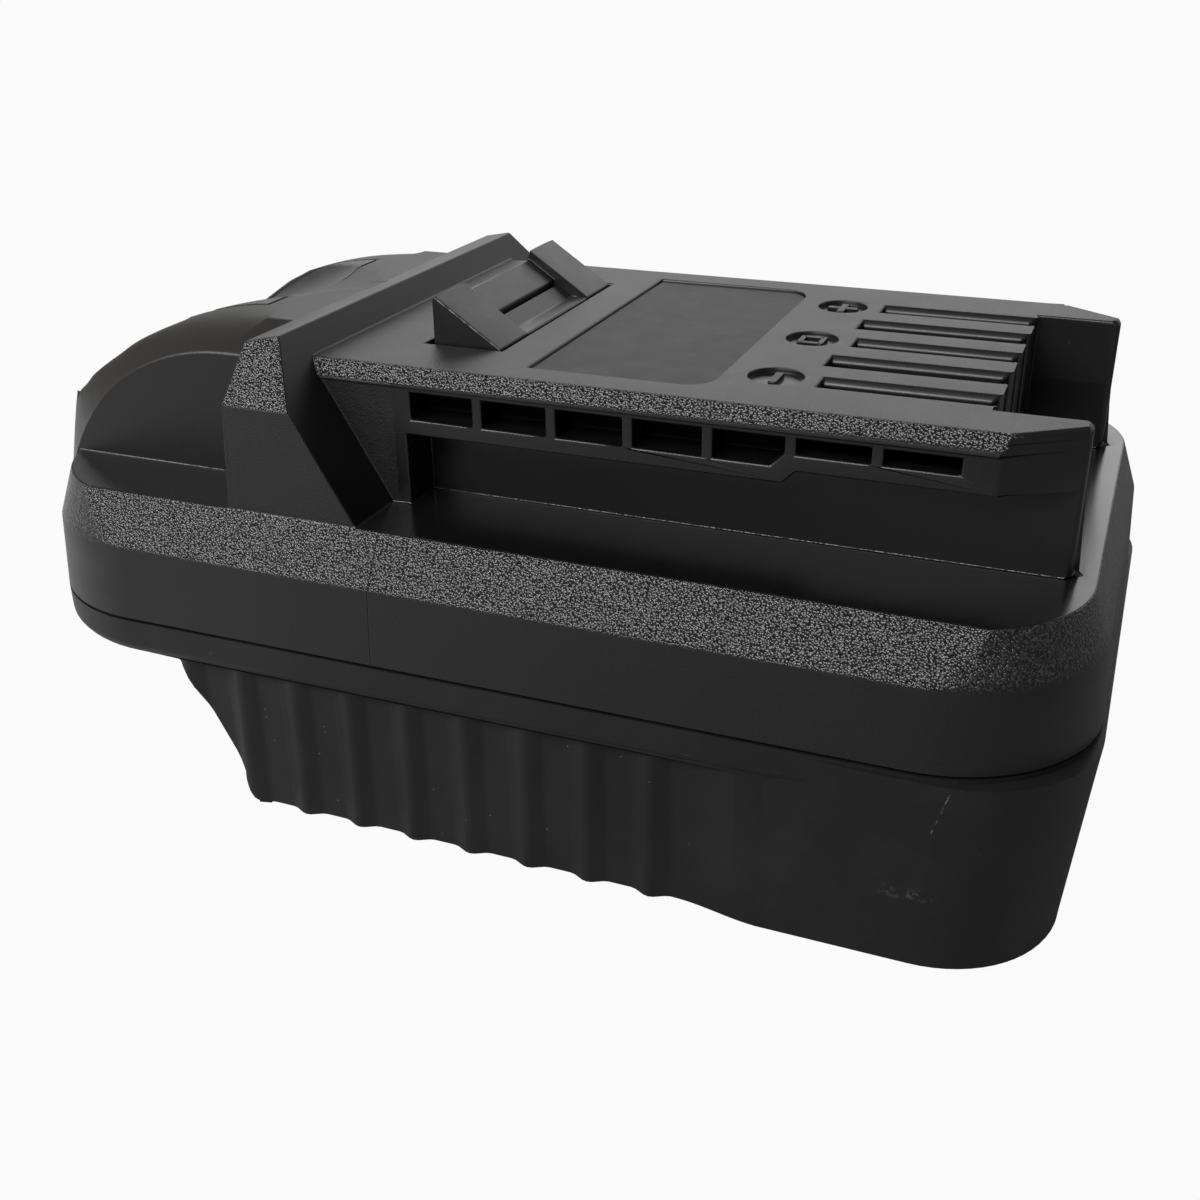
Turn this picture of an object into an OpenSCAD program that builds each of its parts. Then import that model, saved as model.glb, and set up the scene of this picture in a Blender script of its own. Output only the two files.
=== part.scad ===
// Slide-on adapter that lets a battery pack of one rail pattern drive a tool of another.
// +X points to the contact end, +Y across, +Z up; the origin is under the middle, on the
// surface that the skirt stands on.

/* [Housing] */
// Length of the upper shell at the parting line
band_l = 122.4; // [118:0.2:128]
// Width of the upper shell at the parting line
band_w = 73.6; // [72:0.2:80]
// Height of the parting line above the skirt's lower edge
part_z = 21.7; // [20:0.1:25]
// Height of the upright band above the parting line
band_h = 8.6; // [8:0.1:12]
// Inward lean of the band over its height
band_draft = 0.6; // [0.2:0.1:1]
// Height of the chamfer above the band
chamfer_h = 5.4; // [4:0.1:7]
// Inward run of the chamfer along the sides
chamfer_in = 3.1; // [2.4:0.1:4]
// Inward run of the chamfer round the two ends
end_in = 1.9; // [1.5:0.1:2.3]
// Corner radius at the contact end
front_r = 16; // [14:0.5:20]
// Corner radius at the release end
rear_r = 18; // [16:0.5:19]
// Radius of the bow across the release end
bow_r = 110; // [90:1:110]
// Wall thickness of both shells
wall = 2.4; // [2:0.1:2.8]
// Height of the shadow gap round the parting line
gap_h = 0.35; // [0.2:0.05:0.6]
// Depth of the shadow gap
gap_d = 1; // [0.6:0.1:1.4]

/* [Release end] */
// Width of the hump behind the ridge
hump_w = 47.6; // [44:0.2:50]
// Radius of the hump's fall towards the release end
hump_r = 44; // [40:0.5:48]
// Length of the hump's level top behind the ridge
hump_flat = 4; // [3:0.1:5]
// Step down from the ridge to the hump's top
hump_drop = 0.35; // [0.2:0.05:0.8]
// Width of the sloped shoulder along the hump's sides
shoulder_w = 5.5; // [4.5:0.1:6.5]
// Drop of that shoulder
shoulder_h = 2.8; // [2.2:0.1:3.4]
// Radius of the hump's side walls
side_r = 25.4; // [24.5:0.1:26.5]
// Rounding of the hump's lower end
hump_end_r = 4.5; // [3.5:0.1:6]
// Height of the ridge's front edge above the ledge
ridge_h = 17.8; // [17.2:0.1:20]
// Distance from the release end to the ridge's front edge
ridge_back = 37.7; // [37:0.05:39]
// Width of the ridge's top
ridge_t = 3.8; // [3:0.1:5]
// Fall of the ridge's top towards the release end
ridge_fall = 0.8; // [0.4:0.1:1.2]
// Run of the ridge's front slope for each millimetre of height
ridge_slope = 0.59; // [0.5:0.01:0.7]
// Width of the chamfers at the ridge's ends
ridge_end_w = 5.2; // [4:0.1:6]
// Height of those chamfers
ridge_end_h = 6.3; // [5:0.1:7.5]

/* [Tool rail] */
// Height of the rail's top plate above the ledge
rail_h = 14.95; // [14:0.05:16]
// Width over the rail's flanges
rail_w = 50.4; // [48:0.2:54]
// Width of the web under the flanges
web_w = 40.4; // [39:0.2:42]
// Thickness of the flanges
flange_t = 7.15; // [6.8:0.05:8]
// Rise of the flange's underside towards the contact end
flange_rise = 1.3; // [0.8:0.1:1.6]
// Height of the bevel along the rail's upper edges
bevel_h = 1.3; // [1:0.1:1.6]
// Width of that bevel
bevel_w = 0.7; // [0.5:0.05:1.3]
// Distance from the contact end to the rail's tips
tip_back = 4.9; // [4:0.1:7]
// Length of the tapered lead-in
taper_l = 7.2; // [6:0.1:9]
// Depth of the bay between the rail's tips
bay_d = 8.95; // [7:0.05:10]
// Thickness of the walls beside the bay
tip_t = 2; // [1.6:0.1:2.4]
// Number of windows along each flange
window_n = 7; // [5:1:9]
// Width of the bars between the windows
window_bar = 1.1; // [0.8:0.1:1.6]
// Depth of the windows
window_d = 4.2; // [3:0.1:4.5]
// Distance from the ridge's front edge to the first window
window_start = 13.3; // [12.8:0.1:16]

/* [Contacts] */
// Spacing of the slots
slot_pitch = 7.58; // [7.2:0.02:7.8]
// Width of the contact slots
slot_w = 2.4; // [2.2:0.1:2.8]
// Width of the guide slots between them
guide_w = 3; // [2.6:0.1:3.4]
// Length of the contact slots
slot_l = 17.15; // [15:0.05:19]
// Extra length of the guide slots
guide_more = 1; // [0.5:0.1:2]
// Radius of the polarity discs
disc_r = 2.8; // [2.4:0.1:3.2]
// Depth of the polarity discs and of the label's seat
mark_d = 0.6; // [0.4:0.1:0.8]
// Sheet thickness of the spring contacts
clip_t = 0.4; // [0.3:0.05:0.5]
// Length of the spring contacts
clip_l = 12; // [10:0.5:13]

/* [Label] */
// Distance from the hooks to the label
label_gap = 5.35; // [4.5:0.05:7]
// Width of the label across the rail
label_w = 41; // [36:0.5:44]
// Distance from the label to the polarity discs
label_edge = 2.5; // [2:0.1:3.5]
// Thickness of the label
label_t = 0.3; // [0.2:0.05:0.4]

/* [Latch] */
// Height of the hooks above the top plate
hook_h = 5; // [4:0.1:5.2]
// Width of each hook
hook_w = 7.15; // [6:0.05:8]
// Space between the hooks
hook_gap = 17.2; // [16:0.1:18]
// Run of the hooks' front slope
hook_run = 7.5; // [6.5:0.1:8.5]
// Distance from the ridge's front edge to the hooks' back
hook_back = 11.4; // [11:0.1:12.5]
// Clearance round the latch
latch_gap = 0.35; // [0.25:0.05:0.5]
// Thickness of the latch's plate
latch_t = 4; // [3.5:0.1:5]
// Width of the release button
button_w = 24.6; // [22:0.2:27]
// Length of the release button
button_l = 19.6; // [18:0.2:20.4]
// Depth of the thumb scoop at the button's lower end
scoop_d = 3.2; // [2.6:0.1:3.6]
// Width of the thumb scoop there
scoop_w = 30; // [28:0.5:32]
// Outer diameter of the return springs
spring_d = 6; // [5:0.1:6.6]
// Wire diameter of the return springs
spring_wire = 0.7; // [0.5:0.05:0.8]
// Turns of the return springs
spring_turns = 7; // [5:1:8]

/* [Battery bay] */
// Thickness of the floor between the shells and the bay
floor_t = 2.2; // [2:0.1:2.6]
// Depth of the rim under the parting line
rim_h = 3; // [2.6:0.1:3.6]
// Distance from the upper shell's side in to the skirts
skirt_in = 1.8; // [1.4:0.1:2.6]
// Thickness of the skirts
skirt_t = 3; // [2.6:0.1:3.2]
// Reach of the rails at the foot of the skirts
lip_in = 4.6; // [4.2:0.1:5.2]
// Height of those rails
lip_h = 4.4; // [3.6:0.1:5]
// Length of the closed end's bumper
bumper_l = 39; // [36:0.5:41]
// Length of the swell out to the bumper
swell_l = 10.5; // [9:0.5:13]
// How far the bumper stands proud of the upper shell
bumper_out = 0.4; // [0.2:0.1:1]
// Lean of the bumper's end wall
bumper_lean = 2.5; // [1:0.5:5]
// Draft of the bumper's walls, for each millimetre of height
bumper_draft = 0.035; // [0.01:0.005:0.06]
// Thickness of the closed end's wall at the parting line
end_t = 5; // [4.6:0.1:6]
// Corner radius of the bumper
bumper_r = 13.5; // [11:0.5:16]
// Number of grip ribs on each skirt
rib_n = 9; // [7:1:11]
// Spacing of the grip ribs
rib_pitch = 6.9; // [6.4:0.1:7.2]
// Width of the grip ribs
rib_w = 4.6; // [4:0.1:5.4]
// How far the grip ribs stand out
rib_out = 0.85; // [0.5:0.05:1.1]
// Length of the pocket that takes the battery's own catch
catch_l = 9; // [7:0.5:11]
// Width of that pocket
catch_w = 20; // [16:0.5:24]
// Depth of that pocket
catch_d = 4.6; // [4.2:0.1:5]

/* [Battery terminals] */
// Spacing of the blades
blade_span = 31; // [29:0.5:33]
// Thickness of the blades
blade_t = 0.8; // [0.6:0.1:1]
// Width of the blades
blade_w = 6.3; // [5:0.1:7]
// Free length of the blades
blade_l = 13; // [11:0.5:14]
// Height of the bosses under the terminal block's ears
seat_h = 3; // [2.5:0.1:4]
// Thickness of those ears
ear_t = 2; // [1.6:0.1:2.6]
// Length of the terminal block
block_l = 12; // [11:0.5:14]
// Room between the terminal block and the skirts
block_side = 12; // [11:0.5:13]
// Width of the signal socket
socket_w = 9; // [7:0.5:11]
// Length of the signal socket
socket_l = 10; // [8:0.5:11]
// Wall thickness of the signal socket
socket_t = 1.2; // [1:0.1:1.4]
// Thickness of the signal pins
pin_t = 0.5; // [0.4:0.05:0.6]
// Height of the signal pins
pin_w = 1.6; // [1.2:0.1:2]

/* [Board and wires] */
// Length of the signal board
board_l = 26; // [22:0.5:28]
// Width of the signal board
board_w = 24; // [20:0.5:26]
// Thickness of the signal board
board_t = 1.6; // [1.2:0.1:2]
// Height of the board's posts
board_post = 5; // [4:0.5:6]
// Radius of the power wires
power_r = 1.2; // [1:0.1:1.4]
// Radius of the signal wires
signal_r = 0.7; // [0.5:0.05:0.9]

/* [Screws] */
// Shank radius of the case screws
screw_r = 1.45; // [1.2:0.05:1.6]
// Head radius of the case screws
head_r = 2.7; // [2.4:0.1:3]
// Head height of the case screws
head_h = 1.7; // [1.4:0.1:2]
// Thread length of the case screws
screw_l = 11; // [8:0.5:12]
// Shank radius of the small screws
small_r = 1; // [0.8:0.05:1.2]
// Head radius of the small screws
small_head_r = 1.9; // [1.6:0.1:2.1]
// Head height of the small screws
small_head_h = 1.2; // [1:0.1:1.4]
// Wall of the screw bosses
boss_t = 1.9; // [1.6:0.1:2.2]
// Radius of the posts for the small screws
post_r = 2.4; // [2.1:0.1:2.6]

/* [Hidden] */
$fn = 64;

eps = 0.01;

// Levels
band_z = part_z + band_h;
ledge_z = band_z + chamfer_h;
plate_z = ledge_z + rail_h;
ridge_z = ledge_z + ridge_h;
floor_z = part_z - rim_h;
ceiling_z = floor_z - floor_t;
flange_z = plate_z - flange_t;

// Plan of the upper shell: two rounded ends, the rear one bowed
rear_x = -(band_l + bumper_out) / 2;
front_x = rear_x + band_l;
half_w = band_w / 2;
ledge_in = band_draft + chamfer_in;
rear_cy = half_w - rear_r;
front_cx = front_x - front_r;
front_cy = half_w - front_r;
bow_cx = rear_x + bow_r;
rear_cx = bow_cx - sqrt(pow(bow_r - rear_r, 2) - pow(rear_cy, 2));

// Places along the rail
ridge_x = rear_x + ridge_back;
ridge_rear_x = ridge_x - ridge_t;
tip_x = front_x - tip_back;
taper_x = tip_x - taper_l;
bay_x = tip_x - bay_d;
slot_x = bay_x - slot_l;
window_x = ridge_x + window_start;
window_end = taper_x - 2 * window_bar;
window_pitch = (window_end - window_x) / window_n;
rail_in = web_w / 2 - wall;
hook_x = ridge_x + hook_back;
hook_foot = hook_x + 0.4 + hook_run;
disc_x = slot_x - 4.55;
label_x = hook_foot + label_gap;
label_l = disc_x - disc_r - label_edge - label_x;
bay_half = web_w / 2 - tip_t;
bay_w = band_w - 2 * (skirt_in + skirt_t);
block_w = bay_w - 2 * block_side;
slot_n = 5;

// Hump and button
hump_cx = ridge_rear_x - hump_flat;
hump_cz = ridge_z - ridge_fall - hump_drop - hump_r;
hump_in = 0.7;
hump_end = rear_x + hump_in;
hump_z0 = band_z + chamfer_h * 0.2;
side_cx = ridge_rear_x - 6.5;
side_cz = hump_cz + hump_r - shoulder_h - side_r;
button_x1 = hump_cx - 4.1;
button_x0 = button_x1 - button_l;
scoop_in = scoop_d * hump_r / (hump_cx - button_x0);
scoop_r = (pow(scoop_w / 2, 2) + pow(scoop_d, 2)) / (2 * scoop_d);

// Latch: it travels until its hooks are just below the top plate
latch_travel = hook_h + 0.4;
latch_top = plate_z - wall - latch_gap;
latch_bottom = latch_top - latch_t;
hook_out = hook_gap / 2 + hook_w;
spring_x = ridge_x - 4;
spring_y = hook_out - spring_d / 2 - 0.6;
spring_seat = latch_bottom - 2.9 * latch_travel;
spring_pin_r = spring_d / 2 - spring_wire - 0.4;

// Contact holder and battery terminal block
holder_x0 = slot_x - guide_more - 1.2;
holder_x1 = bay_x - wall;
holder_z0 = ledge_z - 1;
holder_z1 = plate_z - wall;
clip_x = slot_x + 0.6;
clip_z = holder_z0 + 2;
tail_z = holder_z0 - 3;
bay_end = front_x + bumper_out - end_t;
block_x1 = bay_end - 1.5;
block_x0 = block_x1 - block_l;
block_z0 = lip_h + 0.8;
flange_lip = 2.25 * post_r;
blade_z = (block_z0 + ceiling_z) / 2;
seat_z = floor_z + seat_h;
stem_w = block_l / 3;
stem_x = block_x0 + stem_w;
stem_z = seat_z + ear_t + 2 * power_r;
pin_x = block_x0 + 2 * pin_w;
tail_w = 2.6;
tail_x = clip_x + 2.5;
board_x0 = ridge_x + 14;
board_z = floor_z + board_post;

// Screw places
boss_r = screw_r + boss_t;
cup_z = part_z - 0.5;
case_places = [
    for (x = [rear_cx, front_cx], s = [-1, 1]) [x, s * (half_w - wall - boss_r - wall / 2)]
];
terminal_places = [for (s = [-1, 1]) [(block_x0 + block_x1) / 2, s * (block_w / 2 + 1.2 * post_r)]];
board_places = [for (s = [-1, 1]) [board_x0 + 1.3 * post_r, s * (board_w / 2 - 1.3 * post_r)]];

// A slab of the plan, inset by d0 at its foot and d1 at its top
module slab(z0, z1, d0, d1) {
    h = z1 - z0;
    translate([0, 0, z0]) {
        for (s = [-1, 1]) {
            translate([rear_cx, s * rear_cy]) cylinder(h = h, r1 = rear_r - d0, r2 = rear_r - d1);
            translate([front_cx, s * front_cy]) cylinder(h = h, r1 = front_r - d0, r2 = front_r - d1);
        }
        along_x(rear_cx, front_cx)
            polygon([[d0 - half_w, 0], [half_w - d0, 0], [half_w - d1, h], [d1 - half_w, h]]);
        along_y(front_cy)
            polygon([[front_cx - 1, 0], [front_x - d0, 0], [front_x - d1, h], [front_cx - 1, h]]);
        intersection() {
            translate([bow_cx, 0]) cylinder(h = h, r1 = bow_r - d0, r2 = bow_r - d1);
            linear_extrude(h) polygon(bow_wedge());
        }
    }
}

// The sector of the bowed end between the two rear corners
function bow_wedge(k = bow_r * 1.05 / (bow_r - rear_r)) = [
    [bow_cx, 0],
    [bow_cx + k * (rear_cx - bow_cx), k * rear_cy],
    [bow_cx + k * (rear_cx - bow_cx), -k * rear_cy]
];

// A profile drawn in Y and Z, carried from x0 to x1
module along_x(x0, x1) {
    translate([x0, 0, 0]) rotate([90, 0, 90]) linear_extrude(x1 - x0) children();
}

// A profile drawn in X and Z, carried across from -half to half
module along_y(half) {
    translate([0, half, 0]) rotate([90, 0, 0]) linear_extrude(2 * half) children();
}

// A block between two corners
module block(low, high) {
    translate(low) cube(high - low);
}

// A block that is symmetric about the middle plane
module middle(x0, x1, w, z0, z1) {
    block([x0, -w / 2, z0], [x1, w / 2, z1]);
}

// Points of an arc in X and Z about c, measured from straight up towards the release end
function fall(c, r, a0, a1, n) = [
    for (i = [0 : n]) let (a = a0 + (a1 - a0) * i / n) [c[0] - r * sin(a), c[1] + r * cos(a)]
];

// Side view of the hump at its crest: a long fall with a rounded lower end
function crest_view(d, e = hump_end_r) =
    let (
        x = hump_end + d + e,
        far = hump_r - d - e,
        a = asin((hump_cx - x) / far)
    )
    concat(
        [[ridge_rear_x + 0.5 - d, hump_z0], [ridge_rear_x + 0.5 - d, hump_cz + hump_r - d]],
        fall([hump_cx, hump_cz], hump_r - d, 0, a, 12),
        fall([x, hump_cz + far * cos(a)], e, a + 6, 90, 6),
        [[hump_end + d, hump_z0]]
    );

// Side view of the hump at its walls: a rounder fall
function wall_view(d) = concat(
    [[ridge_rear_x + 0.5 - d, hump_z0], [ridge_rear_x + 0.5 - d, side_cz + side_r - d]],
    fall([side_cx, side_cz], side_r - d, 0, acos((hump_z0 - side_cz) / (side_r - d)), 16)
);

// The hump, level behind the ridge, with sloped shoulders that fade into its lower end
module hump(d, z0) {
    intersection() {
        hull() {
            along_y(hump_w / 2 - d) polygon(wall_view(d));
            along_y(hump_w / 2 - shoulder_w - d / 2) polygon(crest_view(d));
        }
        translate([hump_end + d + 2 * bow_r, 0, z0]) cylinder(h = ridge_z - z0, r = 2 * bow_r);
    }
}

// The thumb scoop, a ring that sinks into the hump as it falls, deeper by d
module scoop(d) {
    translate([hump_cx + scoop_in, 0, hump_cz]) rotate([90, 0, 0]) rotate(90)
        rotate_extrude(angle = 50) translate([hump_r + scoop_r - d, 0]) circle(scoop_r);
}

// The ridge across the shell, with a sloped front and chamfered ends
module ridge(d) {
    foot = ridge_x + ridge_slope * ridge_h;
    half = half_w - ledge_in - d;
    drop = d * 1.1;
    intersection() {
        along_y(half) polygon([
            [ridge_rear_x - 1.6 + d, ledge_z - wall],
            [ridge_rear_x + d, ridge_z - ridge_fall - drop],
            [ridge_x - d * 0.3, ridge_z - drop],
            [foot + ridge_slope * wall - d, ledge_z - wall]
        ]);
        along_x(rear_x, foot + 5) polygon([
            [-half, ledge_z - wall], [half, ledge_z - wall],
            [half, ridge_z - ridge_end_h], [half - ridge_end_w, ridge_z],
            [ridge_end_w - half, ridge_z], [-half, ridge_z - ridge_end_h]
        ]);
    }
}

// Plan of the rail at half width w, with its tapered lead-in
module rail_plan(w) {
    polygon([
        [ridge_x, -w], [taper_x, -w], [tip_x, -web_w / 2],
        [tip_x, web_w / 2], [taper_x, w], [ridge_x, w]
    ]);
}

// One flange window, seen from the side
module window(i) {
    x0 = window_x + i * window_pitch;
    x1 = x0 + window_pitch - window_bar;
    low = flange_z + 1.65 + (i > window_n - 2.5 ? flange_rise : 0);
    cut = i == window_n - 3 ? flange_rise : eps;
    polygon([[x0, low], [x1 - cut, low], [x1, low + cut], [x1, plate_z - 2.6], [x0, plate_z - 2.6]]);
}

// The rail with its web, flanges and windows
module rail() {
    half = rail_w / 2;
    step_x = window_x + (window_n - 2) * window_pitch - window_bar / 2;
    difference() {
        union() {
            translate([0, 0, ledge_z - wall]) linear_extrude(rail_h + wall) rail_plan(web_w / 2);
            translate([0, 0, flange_z]) linear_extrude(flange_t) rail_plan(half);
            translate([0, 0, plate_z - 2]) linear_extrude(1) rail_plan(half + 0.2);
            middle(ridge_x, window_x - 0.6, rail_w, ledge_z - wall, plate_z);
        }
        for (s = [-1, 1]) {
            mirror([0, s < 0 ? 1 : 0, 0]) {
                along_x(ridge_x - 1, tip_x + 1) polygon([
                    [half - bevel_w, plate_z], [half - bevel_w, plate_z + 1],
                    [half + bevel_w, plate_z + 1], [half + bevel_w, plate_z - 2 * bevel_h]
                ]);
                translate([0, half + 0.5, 0]) rotate([90, 0, 0]) linear_extrude(window_d + 0.5)
                    for (i = [0 : window_n - 1]) window(i);
                translate([0, half + 1, 0]) rotate([90, 0, 0]) linear_extrude(half + 1 - web_w / 2)
                    polygon([
                        [step_x - flange_rise / 2, flange_z - eps],
                        [step_x + flange_rise / 2, flange_z + flange_rise],
                        [tip_x + 1, flange_z + flange_rise], [tip_x + 1, flange_z - eps]
                    ]);
            }
        }
        middle(bay_x, tip_x + 1, 2 * bay_half, ledge_z, plate_z + 1);
    }
}

// Profile of a slot with eased upper edges
module slot_profile(w, z0, ease = 0.6) {
    polygon([
        [-w / 2, z0], [w / 2, z0], [w / 2, plate_z - ease], [w / 2 + ease + 0.1, plate_z + 0.1],
        [-w / 2 - ease - 0.1, plate_z + 0.1], [-w / 2, plate_z - ease]
    ]);
}

// All slots of the contact end, with eased ends on the ribs between them
module slots(z0, more) {
    for (i = [0 : slot_n - 1]) {
        wide = i % 2 == 1;
        w = (wide ? guide_w : slot_w) + more;
        x0 = slot_x - (wide ? guide_more : 0);
        translate([0, (i - (slot_n - 1) / 2) * slot_pitch, 0]) {
            along_x(x0, bay_x + 1) slot_profile(w, z0);
            translate([0, 0, z0]) linear_extrude(plate_z - z0) polygon([
                [bay_x - 0.7, -w / 2], [bay_x + 0.1, -w / 2 - 0.8],
                [bay_x + 0.1, w / 2 + 0.8], [bay_x - 0.7, w / 2]
            ]);
        }
    }
}

// The label's outline, rounded at the contact end
module label_plan(d) {
    r = 3;
    w = label_w / 2 - d;
    translate([label_x + d, -w]) square([label_l - r - d, 2 * w]);
    translate([label_x + d, r - w - d]) square([label_l - 2 * d, 2 * (w - r + d)]);
    for (s = [-1, 1]) translate([label_x + label_l - r, s * (w + d - r)]) circle(r - d);
}

// Outside of the upper shell, before hollowing
module upper_outside() {
    slab(part_z, band_z, 0, band_draft);
    intersection() {
        slab(band_z, ledge_z, band_draft, band_draft + end_in);
        along_x(rear_x - 1, front_x + 1) polygon([
            [-half_w + band_draft, band_z],
            [half_w - band_draft, band_z],
            [half_w - ledge_in, ledge_z],
            [-half_w + ledge_in, ledge_z]
        ]);
    }
    hump(0, hump_z0);
    ridge(0);
    rail();
}

// Room inside the upper shell
module upper_inside() {
    slab(part_z - 1, band_z, wall, wall + band_draft);
    slab(band_z - eps, ledge_z - wall, wall + band_draft, wall + ledge_in);
    difference() {
        hump(wall, ledge_z - wall - 1);
        scoop(wall);
    }
    intersection() {
        ridge(wall);
        middle(rear_x, tip_x, 2 * rail_in, 0, plate_z - wall);
    }
    middle(side_cx, ridge_x + eps, 2 * rail_in, ledge_z - wall - 1, plate_z - wall);
    middle(ridge_x, holder_x1, 2 * rail_in, ledge_z - wall - 1, plate_z - wall);
}

module upper_shell() {
    color("#232425") {
        difference() {
            upper_outside();
            upper_inside();
            difference() {
                slab(part_z - 1, part_z + gap_h, -1, -1);
                slab(part_z - 2, part_z + gap_h + 1, gap_d, gap_d);
            }
            slots(ledge_z + 0.8, 0);
            for (i = [0, 2, 4]) translate([disc_x, (i - 2) * slot_pitch * 0.97, plate_z - mark_d])
                cylinder(h = 2, r = disc_r);
            translate([0, 0, plate_z - mark_d]) linear_extrude(2) label_plan(0);
            middle(hook_x - latch_gap - 0.6, hook_foot + latch_gap, 2 * (hook_out + latch_gap),
                plate_z - wall - 1, ridge_z);
            middle(button_x0 - latch_gap, button_x1 + latch_gap, button_w + 2 * latch_gap,
                ledge_z - 0.5, ridge_z + 5);
            scoop(0);
        }
        for (p = case_places) translate([p[0], p[1], cup_z]) difference() {
            cylinder(h = ledge_z - wall + 1 - cup_z, r = boss_r);
            translate([0, 0, -1]) cylinder(h = screw_l + 1.5, r = screw_r + 0.03);
        }
        for (s = [-1, 1]) latch_guide(s);
    }
}

// Upright guides beside the latch's plate
module latch_guide(s) {
    y0 = hook_out + latch_gap;
    block([ridge_x - 2, min(s * y0, s * (rail_in + 0.5)), ledge_z - wall - 1.5],
        [ridge_x + 2, max(s * y0, s * (rail_in + 0.5)), plate_z - wall + 0.5]);
}

// Side view of a skirt, with its slanted rear edge
module skirt_side(z1) {
    foot_x = ridge_x - 3;
    r = 3;
    polygon([
        [foot_x - 10.5, z1], [foot_x - 9, ceiling_z - 1], [foot_x - 2.8, r + 0.6], [foot_x, r], [foot_x, 0],
        [front_x - bumper_l + 8, 0], [front_x - bumper_l + 8, z1]
    ]);
    translate([foot_x, r]) circle(r);
}

// Plan of the swell from the skirt's panel out to the bumper
function swell(n = 12) = [
    for (i = [0 : n]) [
        front_x - bumper_l + swell_l * i / n,
        bay_w / 2 + skirt_t + (half_w + bumper_out - bumper_draft * part_z - bay_w / 2 - skirt_t)
            * (1 - cos(180 * i / n)) / 2
    ]
];

// The closed end's bumper, with a leaning end wall
module bumper() {
    x0 = front_x - bumper_l;
    x1 = front_x + bumper_out;
    w = half_w + bumper_out;
    top = part_z - 0.4;
    low = bumper_draft * 1.5 * part_z;
    intersection() {
        translate([x1, 0, top]) rotate([0, bumper_lean, 0]) translate([-x1, 0, -1.5 * part_z]) {
            for (s = [-1, 1]) translate([x1 - bumper_r, s * (w - bumper_r)])
                cylinder(h = 3 * part_z, r1 = bumper_r - low, r2 = bumper_r + low);
            along_x(x0 - bumper_l, x1 - bumper_r) polygon([
                [low - w, 0], [w - low, 0], [w + low, 3 * part_z], [-w - low, 3 * part_z]
            ]);
            along_y(w - bumper_r) polygon([
                [x0, 0], [x1 - low, 0], [x1 + low, 3 * part_z], [x0, 3 * part_z]
            ]);
        }
        linear_extrude(top) {
            translate([x0 + 2 * swell_l - eps, -band_w]) square([bumper_l, 2 * band_w]);
            for (s = [-1, 1]) polygon(concat(
                [for (p = swell()) [p[0], s * p[1]]],
                [[x0 + 2 * swell_l, s * (w + 0.2)], [x0 + 2 * swell_l, 0], [x0, 0]]
            ));
        }
    }
}

// Grip ribs of one skirt, soft waves in plan, clipped by the skirt's side view
module ribs(s) {
    y = bay_w / 2 + skirt_t - eps;
    first = ridge_x - 11.6;
    last = first + (rib_n - 1) * rib_pitch;
    intersection() {
        linear_extrude(floor_z - floor_t / 4) polygon(concat(
            [
                for (i = [0 : rib_n - 1], t = [-4 : 4])
                [first + i * rib_pitch + t * rib_w / 8, s * (y + (rib_out + eps) * (1 + cos(45 * t)) / 2)]
            ],
            [[last + rib_w / 2, s * (y - 1)], [first - rib_w / 2, s * (y - 1)]]
        ));
        along_y(band_w) {
            skirt_side(floor_z);
            translate([first + rib_pitch * 1.4, 0]) square([band_l, floor_z]);
        }
    }
}

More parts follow.
